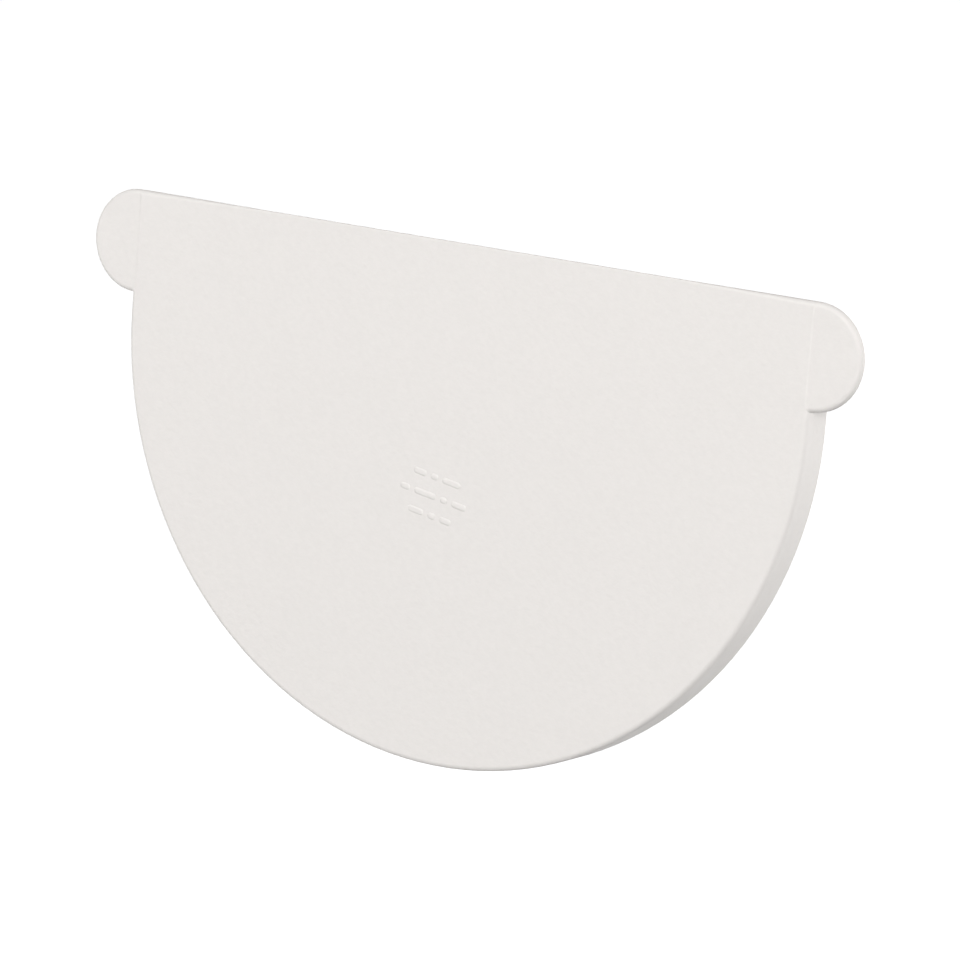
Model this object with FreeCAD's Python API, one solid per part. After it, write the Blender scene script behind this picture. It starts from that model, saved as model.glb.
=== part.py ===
# End cap for a half-round rain gutter, pressed from one piece of coated steel sheet.
#
# Seen from the front it is a half round closed by a straight top edge, with a round ear at
# each end that covers the gutter's rolled bead. The half round has a deep rim that slips
# over the gutter's end. The ears have a shallow lip, which fades out along the top edge.
# The plate's face stands a little in front of the ears, and its rounded edge shows as a
# fine line across the root of each ear.
#
# X runs across the gutter, Y back into the gutter, and Z up. The origin is the centre of
# the half round, on the inner face that the gutter's cut end butts against.

import FreeCAD, Part

import math
import os

from FreeCAD import Vector

# Driving sizes, in millimetres.
SHEET = 0.6  # thickness of the coated sheet
GUTTER_R = 75.0  # outside radius of the gutter
GUTTER_PLAY = 0.4  # room between the gutter and the rim
BEAD_R = 9.0  # outside radius of the gutter's bead
BEAD_PLAY = 0.4  # room between the bead and the ear's lip
WALL_RISE = 3.2  # straight wall between the half round and the ear
RIM_DEPTH = 6.8  # from the front face to the rim's cut edge
BEND_R = 0.4  # inside radius of each bend
LIP_LAND = 0.2  # straight part of the ear's lip, behind its bend
EAR_STEP = 0.1  # how far the ears' faces lie behind the plate's face
NOTCH_R = 0.3  # corner between the rim and the ear
EDGE_R = 0.25  # rounding along the cut top edge
TAPER_RUN = 27.0  # length over which the top edge's lip fades out
TAPER_GAP = 4.0  # from the ear's centre to where the lip starts to fade

# What follows from them.
RIM_R = GUTTER_R + GUTTER_PLAY + SHEET
EAR_R = BEAD_R + BEAD_PLAY + SHEET
EAR_Z = WALL_RISE + EAR_R
TOP = EAR_Z + EAR_R
BEND_OUT = BEND_R + SHEET
FRONT = -SHEET
LIP_BACK = FRONT + BEND_OUT + LIP_LAND
RIM_BACK = FRONT + RIM_DEPTH
LIP_FULL = RIM_R - TAPER_GAP
LIP_GONE = LIP_FULL - TAPER_RUN
STRIP = 2 * BEND_OUT  # height of the strip that carries the top edge's rounding
BEYOND = 2 * SHEET  # how far a cutting shape reaches past what it cuts
TINY = 1e-4


def arc(start, middle, end):
    return Part.Arc(start, middle, end).toShape()


def line(start, end):
    return Part.LineSegment(start, end).toShape()


def polygon(points):
    return Part.Face(Part.makePolygon(points + points[:1]))


def ear_side(side, inset):
    """One side of the outline, from the half round round the ear and up to the top edge."""
    ear = Vector(side * RIM_R, 0, EAR_Z)
    reach = EAR_R + NOTCH_R
    notch = Vector(side * (RIM_R + NOTCH_R), 0, EAR_Z - math.sqrt(reach**2 - NOTCH_R**2))
    notch_r = NOTCH_R + inset
    ear_r = EAR_R - inset
    wall = side * (RIM_R - inset)
    wall_foot = Vector(wall, 0, 0)
    wall_head = Vector(wall, 0, notch.z)
    towards_ear = (ear - notch).normalize()
    towards_wall = Vector(-side, 0, 0)
    notch_middle = notch + (towards_ear + towards_wall).normalize() * notch_r
    ear_foot = notch + towards_ear * notch_r
    ear_tip = ear + Vector(side * ear_r, 0, 0)
    ear_head = ear + Vector(0, 0, ear_r)
    return [
        line(wall_foot, wall_head),
        arc(wall_head, notch_middle, ear_foot),
        arc(ear_foot, ear_tip, ear_head),
    ]


def half_round(inset):
    r = RIM_R - inset
    return arc(Vector(-r, 0, 0), Vector(0, 0, -r), Vector(r, 0, 0))


def cap_outline(inset):
    """The cap's outline with its ears, drawn in by an even distance."""
    top = TOP - inset
    edges = [half_round(inset), line(Vector(-RIM_R, 0, top), Vector(RIM_R, 0, top))]
    edges += ear_side(1, inset) + ear_side(-1, inset)
    return Part.Wire(Part.__sortEdges__(edges))


def plate_outline(inset):
    """The outline without the ears: the half round and its straight sides."""
    r = RIM_R - inset
    top = TOP - inset
    edges = [
        half_round(inset),
        line(Vector(r, 0, 0), Vector(r, 0, top)),
        line(Vector(r, 0, top), Vector(-r, 0, top)),
        line(Vector(-r, 0, top), Vector(-r, 0, 0)),
    ]
    return Part.Wire(Part.__sortEdges__(edges))


def rounded_block(wire, face, back, radius):
    """An outline as a block from its face to its back, with a rounding all round its face."""
    wire.translate(Vector(0, face, 0))
    block = Part.Face(wire).extrude(Vector(0, back - face, 0))
    rim = [edge for edge in block.Edges if edge.BoundBox.YMax < face + TINY]
    return block.makeFillet(radius, rim)


def dish(inset, face, back, radius):
    """The plate and the ears as one block, with the ears' face behind the plate's."""
    ears = rounded_block(cap_outline(inset), face + EAR_STEP, back, radius)
    plate = rounded_block(plate_outline(inset), face, back, radius)
    return plate.fuse(ears)


def strip_section(x, radius):
    """The top edge's section, with its front corner rounded."""
    low = TOP - STRIP
    corner = math.sqrt(0.5)
    centre = Vector(x, FRONT + radius, TOP - radius)
    side = Vector(x, FRONT, TOP - radius)
    crown = Vector(x, FRONT + radius, TOP)
    middle = centre + Vector(0, -corner * radius, corner * radius)
    edges = [
        line(Vector(x, FRONT, low), side),
        arc(side, middle, crown),
        line(crown, Vector(x, LIP_BACK, TOP)),
        line(Vector(x, LIP_BACK, TOP), Vector(x, LIP_BACK, low)),
        line(Vector(x, LIP_BACK, low), Vector(x, FRONT, low)),
    ]
    return Part.Wire(edges)


def top_strip():
    """The top edge between the ears, whose rounding shrinks to that of a cut edge."""
    sections = [
        strip_section(-LIP_FULL, BEND_OUT),
        strip_section(-LIP_GONE, EDGE_R),
        strip_section(LIP_GONE, EDGE_R),
        strip_section(LIP_FULL, BEND_OUT),
    ]
    return Part.makeLoft(sections, True, True)


def lip_trim():
    """What is cut away behind the top edge, where its lip fades out."""
    past = LIP_BACK + BEYOND
    plan = polygon(
        [
            Vector(-LIP_FULL, LIP_BACK, 0),
            Vector(-LIP_GONE, 0, 0),
            Vector(LIP_GONE, 0, 0),
            Vector(LIP_FULL, LIP_BACK, 0),
            Vector(LIP_FULL, past, 0),
            Vector(-LIP_FULL, past, 0),
        ]
    )
    plan.translate(Vector(0, 0, TOP - STRIP))
    return plan.extrude(Vector(0, 0, STRIP + BEYOND))


def pan():
    """The front plate and ears with the shallow lip that runs all round them."""
    outer = dish(0, FRONT, LIP_BACK, BEND_OUT).fuse(top_strip())
    hollow = dish(SHEET, 0, LIP_BACK + BEYOND, BEND_R)
    return outer.cut(hollow).cut(lip_trim())


def rim():
    """The deep wall round the half round, up to the underside of the ears."""
    inner = RIM_R - SHEET
    edges = [
        half_round(0),
        half_round(SHEET),
    ]
    for side in (1, -1):
        edges += [
            line(Vector(side * RIM_R, 0, 0), Vector(side * RIM_R, 0, WALL_RISE)),
            line(Vector(side * RIM_R, 0, WALL_RISE), Vector(side * inner, 0, WALL_RISE)),
            line(Vector(side * inner, 0, WALL_RISE), Vector(side * inner, 0, 0)),
        ]
    profile = Part.Face(Part.Wire(Part.__sortEdges__(edges)))
    profile.translate(Vector(0, LIP_BACK, 0))
    return profile.extrude(Vector(0, RIM_BACK - LIP_BACK, 0))


def end_cap():
    shape = pan().fuse(rim()).removeSplitter()
    return shape.Solids[0]


os.makedirs("parts", exist_ok=True)
cap = end_cap()
cap.exportStep("parts/end_cap.step")
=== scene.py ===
# The looks of a half-round gutter end cap: a white satin coat with a fine grain on the pressed sheet,
# and three short rows of plain raised bars on its face. Metres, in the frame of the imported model:
# X across the cap, Y back into the gutter, Z up.

import math

import bpy
from mathutils import Matrix, Quaternion, Vector


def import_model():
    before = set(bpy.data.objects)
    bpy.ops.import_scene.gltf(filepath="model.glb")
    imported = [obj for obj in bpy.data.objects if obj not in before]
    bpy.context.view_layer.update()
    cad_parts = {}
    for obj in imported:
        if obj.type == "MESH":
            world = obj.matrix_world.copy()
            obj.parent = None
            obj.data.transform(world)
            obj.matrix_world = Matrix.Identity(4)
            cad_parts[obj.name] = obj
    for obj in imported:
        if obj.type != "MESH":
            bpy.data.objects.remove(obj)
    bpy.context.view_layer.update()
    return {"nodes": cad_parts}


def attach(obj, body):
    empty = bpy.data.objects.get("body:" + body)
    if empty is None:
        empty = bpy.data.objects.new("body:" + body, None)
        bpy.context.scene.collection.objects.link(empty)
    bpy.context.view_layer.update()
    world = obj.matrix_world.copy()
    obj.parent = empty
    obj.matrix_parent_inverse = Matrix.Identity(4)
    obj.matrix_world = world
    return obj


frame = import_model()

RIM_R = 0.076  # outside radius of the rim
SHEET = 0.0006  # the front face lies this far in front of the origin
WHITE = (1.0, 1.0, 1.0)

# The coat. Its tone runs from 0, the darkest, over TONE_MIDDLE to 1, the lightest.
COAT = (0.826, 0.797, 0.772)
SPECULAR = 0.25
ROUGHNESS = 0.55
ROUGHNESS_CHANGE = 0.04
TONE_CHANGE = 0.012  # how far the darkest and lightest tones lie from the colour, as a share of it
TONE_MIDDLE = 0.5
CLOUD = 0.012  # width of the slow changes of tone and gloss
CLOUD_DETAIL = 3
CLOUD_TONE = 0.2  # how far they move the tone
GRAIN = 0.0011  # width of the fine grain
GRAIN_DETAIL = 2
GRAIN_TONE = 0.4  # how far it moves the tone
GRAIN_RELIEF = 0.00006
NOISE_LOW = 0.3  # a noise seldom goes below this
NOISE_HIGH = 0.7  # or above this

# The raised bars, below the middle of the face.
BAR_ROWS = ((0.0030, 0.0016, 0.0042), (0.0022, 0.0050, 0.0016, 0.0034), (0.0036, 0.0018, 0.0026))
BAR_HEIGHT = 0.0012
BAR_GAP = 0.0010
BAR_RELIEF = 0.0001
BAR_EDGE = 0.0003  # width of a bar's soft edge
BAR_SUNK = 0.00002  # how far a bar's foot lies inside the sheet
ROW_STEP = 0.0037
PATCH_X = -0.0026
PATCH_Z = -0.0250
PATCH_TURN = math.radians(9)
END_STEPS = 10
EDGE_STEPS = 4

# The photograph's viewpoint. The camera looks almost at the middle of the half round.
LENS = 207.6
SENSOR = 36.0
DISTANCE = 13.542 * RIM_R
AZIMUTH = 33.04
ELEVATION = 9.935
ROLL = math.radians(4.54)
SHIFT_RIGHT = 0.0614 * RIM_R
SHIFT_UP = -0.2765 * RIM_R

# The studio.
NEAR = 0.8  # distance of the near lamps
FAR = 2.4  # distance of the far lamps
LAMP_SPREAD = 0.56  # a lamp's width, as a share of its distance
FLOOR_Z = -0.26
FLOOR_SIZE = 8.0
FLOOR_SHADE = 0.38


def towards(azimuth, elevation):
    """A unit vector at an angle round from the front, and up from level. Degrees."""
    a = math.radians(azimuth)
    e = math.radians(elevation)
    return Vector((math.sin(a) * math.cos(e), -math.cos(a) * math.cos(e), math.sin(e)))


def link(thing):
    """Puts a new object into the scene."""
    bpy.context.scene.collection.objects.link(thing)
    return thing


def camera():
    """The camera, at the photograph's viewpoint."""
    back = towards(AZIMUTH, ELEVATION)
    turn = back.to_track_quat("Z", "Y") @ Quaternion((0, 0, 1), ROLL)
    data = bpy.data.cameras.new("camera")
    data.lens = LENS
    data.sensor_width = SENSOR
    cam = link(bpy.data.objects.new("camera", data))
    cam.rotation_mode = "QUATERNION"
    cam.rotation_quaternion = turn
    middle = Vector((0, -SHEET, 0))
    cam.location = middle + back * DISTANCE + turn @ Vector((SHIFT_RIGHT, SHIFT_UP, 0))
    bpy.context.scene.camera = cam


def lamp(name, azimuth, elevation, distance, power):
    """A round soft lamp that faces the cap."""
    data = bpy.data.lights.new(name, "AREA")
    data.shape = "DISK"
    data.size = LAMP_SPREAD * distance
    data.energy = power
    data.color = WHITE
    away = towards(azimuth, elevation)
    obj = link(bpy.data.objects.new(name, data))
    obj.location = away * distance
    obj.rotation_mode = "QUATERNION"
    obj.rotation_quaternion = away.to_track_quat("Z", "Y")
    obj.visible_camera = False


def looked_at(nodes, links):
    """One where the camera, a reflection or glass looks at the background, and zero for its light."""
    path = nodes.new("ShaderNodeLightPath")
    total = path.outputs["Is Camera Ray"]
    for kind in ("Is Glossy Ray", "Is Transmission Ray"):
        either = nodes.new("ShaderNodeMath")
        either.operation = "MAXIMUM"
        links.new(total, either.inputs[0])
        links.new(path.outputs[kind], either.inputs[1])
        total = either.outputs["Value"]
    return total


def world():
    """White where it is seen, and dark as a light, so that the lamps alone light the cap."""
    studio = bpy.data.worlds.new("studio")
    bpy.context.scene.world = studio
    studio.use_nodes = True
    nodes = studio.node_tree.nodes
    links = studio.node_tree.links
    nodes.clear()
    out = nodes.new("ShaderNodeOutputWorld")
    seen = nodes.new("ShaderNodeBackground")
    seen.inputs["Color"].default_value = (*WHITE, 1)
    links.new(looked_at(nodes, links), seen.inputs["Strength"])
    links.new(seen.outputs["Background"], out.inputs["Surface"])


def floor():
    """A plain pale floor, which takes the lamps' light and looks white."""
    mesh = bpy.data.meshes.new("floor")
    h = FLOOR_SIZE / 2
    corners = [(-h, -h, FLOOR_Z), (h, -h, FLOOR_Z), (h, h, FLOOR_Z), (-h, h, FLOOR_Z)]
    mesh.from_pydata(corners, [], [(0, 1, 2, 3)])
    obj = link(bpy.data.objects.new("floor", mesh))
    mat = bpy.data.materials.new("floor")
    mat.use_nodes = True
    nodes = mat.node_tree.nodes
    links = mat.node_tree.links
    nodes.clear()
    out = nodes.new("ShaderNodeOutputMaterial")
    matt = nodes.new("ShaderNodeBsdfDiffuse")
    matt.inputs["Color"].default_value = (FLOOR_SHADE, FLOOR_SHADE, FLOOR_SHADE, 1)
    glow = nodes.new("ShaderNodeEmission")
    glow.inputs["Color"].default_value = (*WHITE, 1)
    links.new(looked_at(nodes, links), glow.inputs["Strength"])
    both = nodes.new("ShaderNodeAddShader")
    links.new(matt.outputs["BSDF"], both.inputs[0])
    links.new(glow.outputs["Emission"], both.inputs[1])
    links.new(both.outputs["Shader"], out.inputs["Surface"])
    mesh.materials.append(mat)


def noise(nodes, links, size, detail):
    """A noise whose lumps are about this wide, fixed to the object."""
    place = nodes.new("ShaderNodeTexCoord")
    lumps = nodes.new("ShaderNodeTexNoise")
    lumps.inputs["Scale"].default_value = 1 / size
    lumps.inputs["Detail"].default_value = detail
    links.new(place.outputs["Object"], lumps.inputs["Vector"])
    return lumps.outputs["Fac"]


def spread(nodes, links, value, low, high):
    """Stretches the middle of a noise between two values."""
    scale = nodes.new("ShaderNodeMapRange")
    scale.inputs["From Min"].default_value = NOISE_LOW
    scale.inputs["From Max"].default_value = NOISE_HIGH
    scale.inputs["To Min"].default_value = low
    scale.inputs["To Max"].default_value = high
    links.new(value, scale.inputs["Value"])
    return scale.outputs["Result"]


def shade(share):
    """The coat's colour, made lighter or darker."""
    return (*[c * share for c in COAT], 1)


def coat():
    """The white coat: its tone and gloss wander a little, and it has a very fine grain."""
    mat = bpy.data.materials.new("coated_sheet")
    mat.use_nodes = True
    nodes = mat.node_tree.nodes
    links = mat.node_tree.links
    bsdf = nodes["Principled BSDF"]
    bsdf.inputs["Specular IOR Level"].default_value = SPECULAR
    grain = noise(nodes, links, GRAIN, GRAIN_DETAIL)
    cloud = noise(nodes, links, CLOUD, CLOUD_DETAIL)

    both = nodes.new("ShaderNodeMath")
    both.operation = "ADD"
    fine = spread(nodes, links, grain, -GRAIN_TONE, GRAIN_TONE)
    slow = spread(nodes, links, cloud, TONE_MIDDLE - CLOUD_TONE, TONE_MIDDLE + CLOUD_TONE)
    links.new(fine, both.inputs[0])
    links.new(slow, both.inputs[1])
    tone = nodes.new("ShaderNodeMix")
    tone.data_type = "RGBA"
    tone.inputs["A"].default_value = shade(1 - TONE_CHANGE)
    tone.inputs["B"].default_value = shade(1 + TONE_CHANGE)
    links.new(both.outputs["Value"], tone.inputs["Factor"])
    links.new(tone.outputs["Result"], bsdf.inputs["Base Color"])

    gloss = spread(nodes, links, cloud, ROUGHNESS - ROUGHNESS_CHANGE, ROUGHNESS + ROUGHNESS_CHANGE)
    links.new(gloss, bsdf.inputs["Roughness"])

    bump = nodes.new("ShaderNodeBump")
    bump.inputs["Distance"].default_value = GRAIN_RELIEF
    links.new(grain, bump.inputs["Height"])
    links.new(bump.outputs["Normal"], bsdf.inputs["Normal"])
    return mat


def dress(node, mat):
    """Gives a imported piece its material."""
    piece = frame["nodes"][node]
    piece.data.materials.clear()
    piece.data.materials.append(mat)


def bar_ring(length, inset, rise):
    """One line round a bar with round ends, this far in from its foot and out from the face."""
    r = BAR_HEIGHT / 2 - inset
    reach = (length - BAR_HEIGHT) / 2
    ring = []
    for side, start in ((1, -math.pi / 2), (-1, math.pi / 2)):
        for i in range(END_STEPS + 1):
            a = start + math.pi * i / END_STEPS
            ring.append(Vector((side * reach + r * math.cos(a), -SHEET - rise, r * math.sin(a))))
    return ring


def bar(length):
    """A bar's lines from its foot in the sheet, up over its soft edge."""
    rings = [bar_ring(length, 0, -BAR_SUNK)]
    for i in range(EDGE_STEPS + 1):
        t = i / EDGE_STEPS
        rise = BAR_RELIEF * (1 - math.cos(math.pi * t)) / 2
        rings.append(bar_ring(length, BAR_EDGE * t, rise))
    return rings


def add_bar(verts, faces, rings, place):
    """Joins a bar's lines into a closed skin."""
    n = len(rings[0])
    first = len(verts)
    for ring in rings:
        verts += [place @ point for point in ring]
    for k in range(len(rings) - 1):
        low = first + k * n
        for i in range(n):
            j = (i + 1) % n
            faces.append((low + i, low + j, low + n + j, low + n + i))
    top = len(verts) - n
    faces.append(tuple(range(top, top + n)))
    faces.append(tuple(reversed(range(first, first + n))))


def raised_bars(mat):
    """Three short rows of plain bars, pressed a little askew."""
    verts = []
    faces = []
    patch = Matrix.Translation((PATCH_X, 0, PATCH_Z)) @ Matrix.Rotation(PATCH_TURN, 4, "Y")
    for row, lengths in enumerate(BAR_ROWS):
        x = -(sum(lengths) + BAR_GAP * (len(lengths) - 1)) / 2
        z = ROW_STEP * (1 - row)
        for length in lengths:
            middle = Matrix.Translation((x + length / 2, 0, z))
            add_bar(verts, faces, bar(length), patch @ middle)
            x += length + BAR_GAP
    mesh = bpy.data.meshes.new("raised_bars")
    mesh.from_pydata(verts, [], faces)
    mesh.shade_smooth()
    mesh.materials.append(mat)
    obj = link(bpy.data.objects.new("raised_bars", mesh))
    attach(obj, "root")


camera()
world()

# Each lamp's angle round from the front and up from level, its distance and its power.
lamp("key", 45, 15, FAR, 36.8)
lamp("far_left", -30, 15, FAR, 21.3)
lamp("upper_left", -60, 60, NEAR, 0.86)
lamp("upper_right", 60, 45, NEAR, 1.18)
lamp("low_left", -60, -10, NEAR, 0.96)
lamp("back_right", 135, 5, NEAR, 2.4)
lamp("back_left", -135, 5, NEAR, 2.4)
lamp("back", 180, 0, FAR, 26.0)

floor()
white_coat = coat()
dress("end_cap", white_coat)
raised_bars(white_coat)
bpy.context.scene.view_settings.view_transform = "Standard"
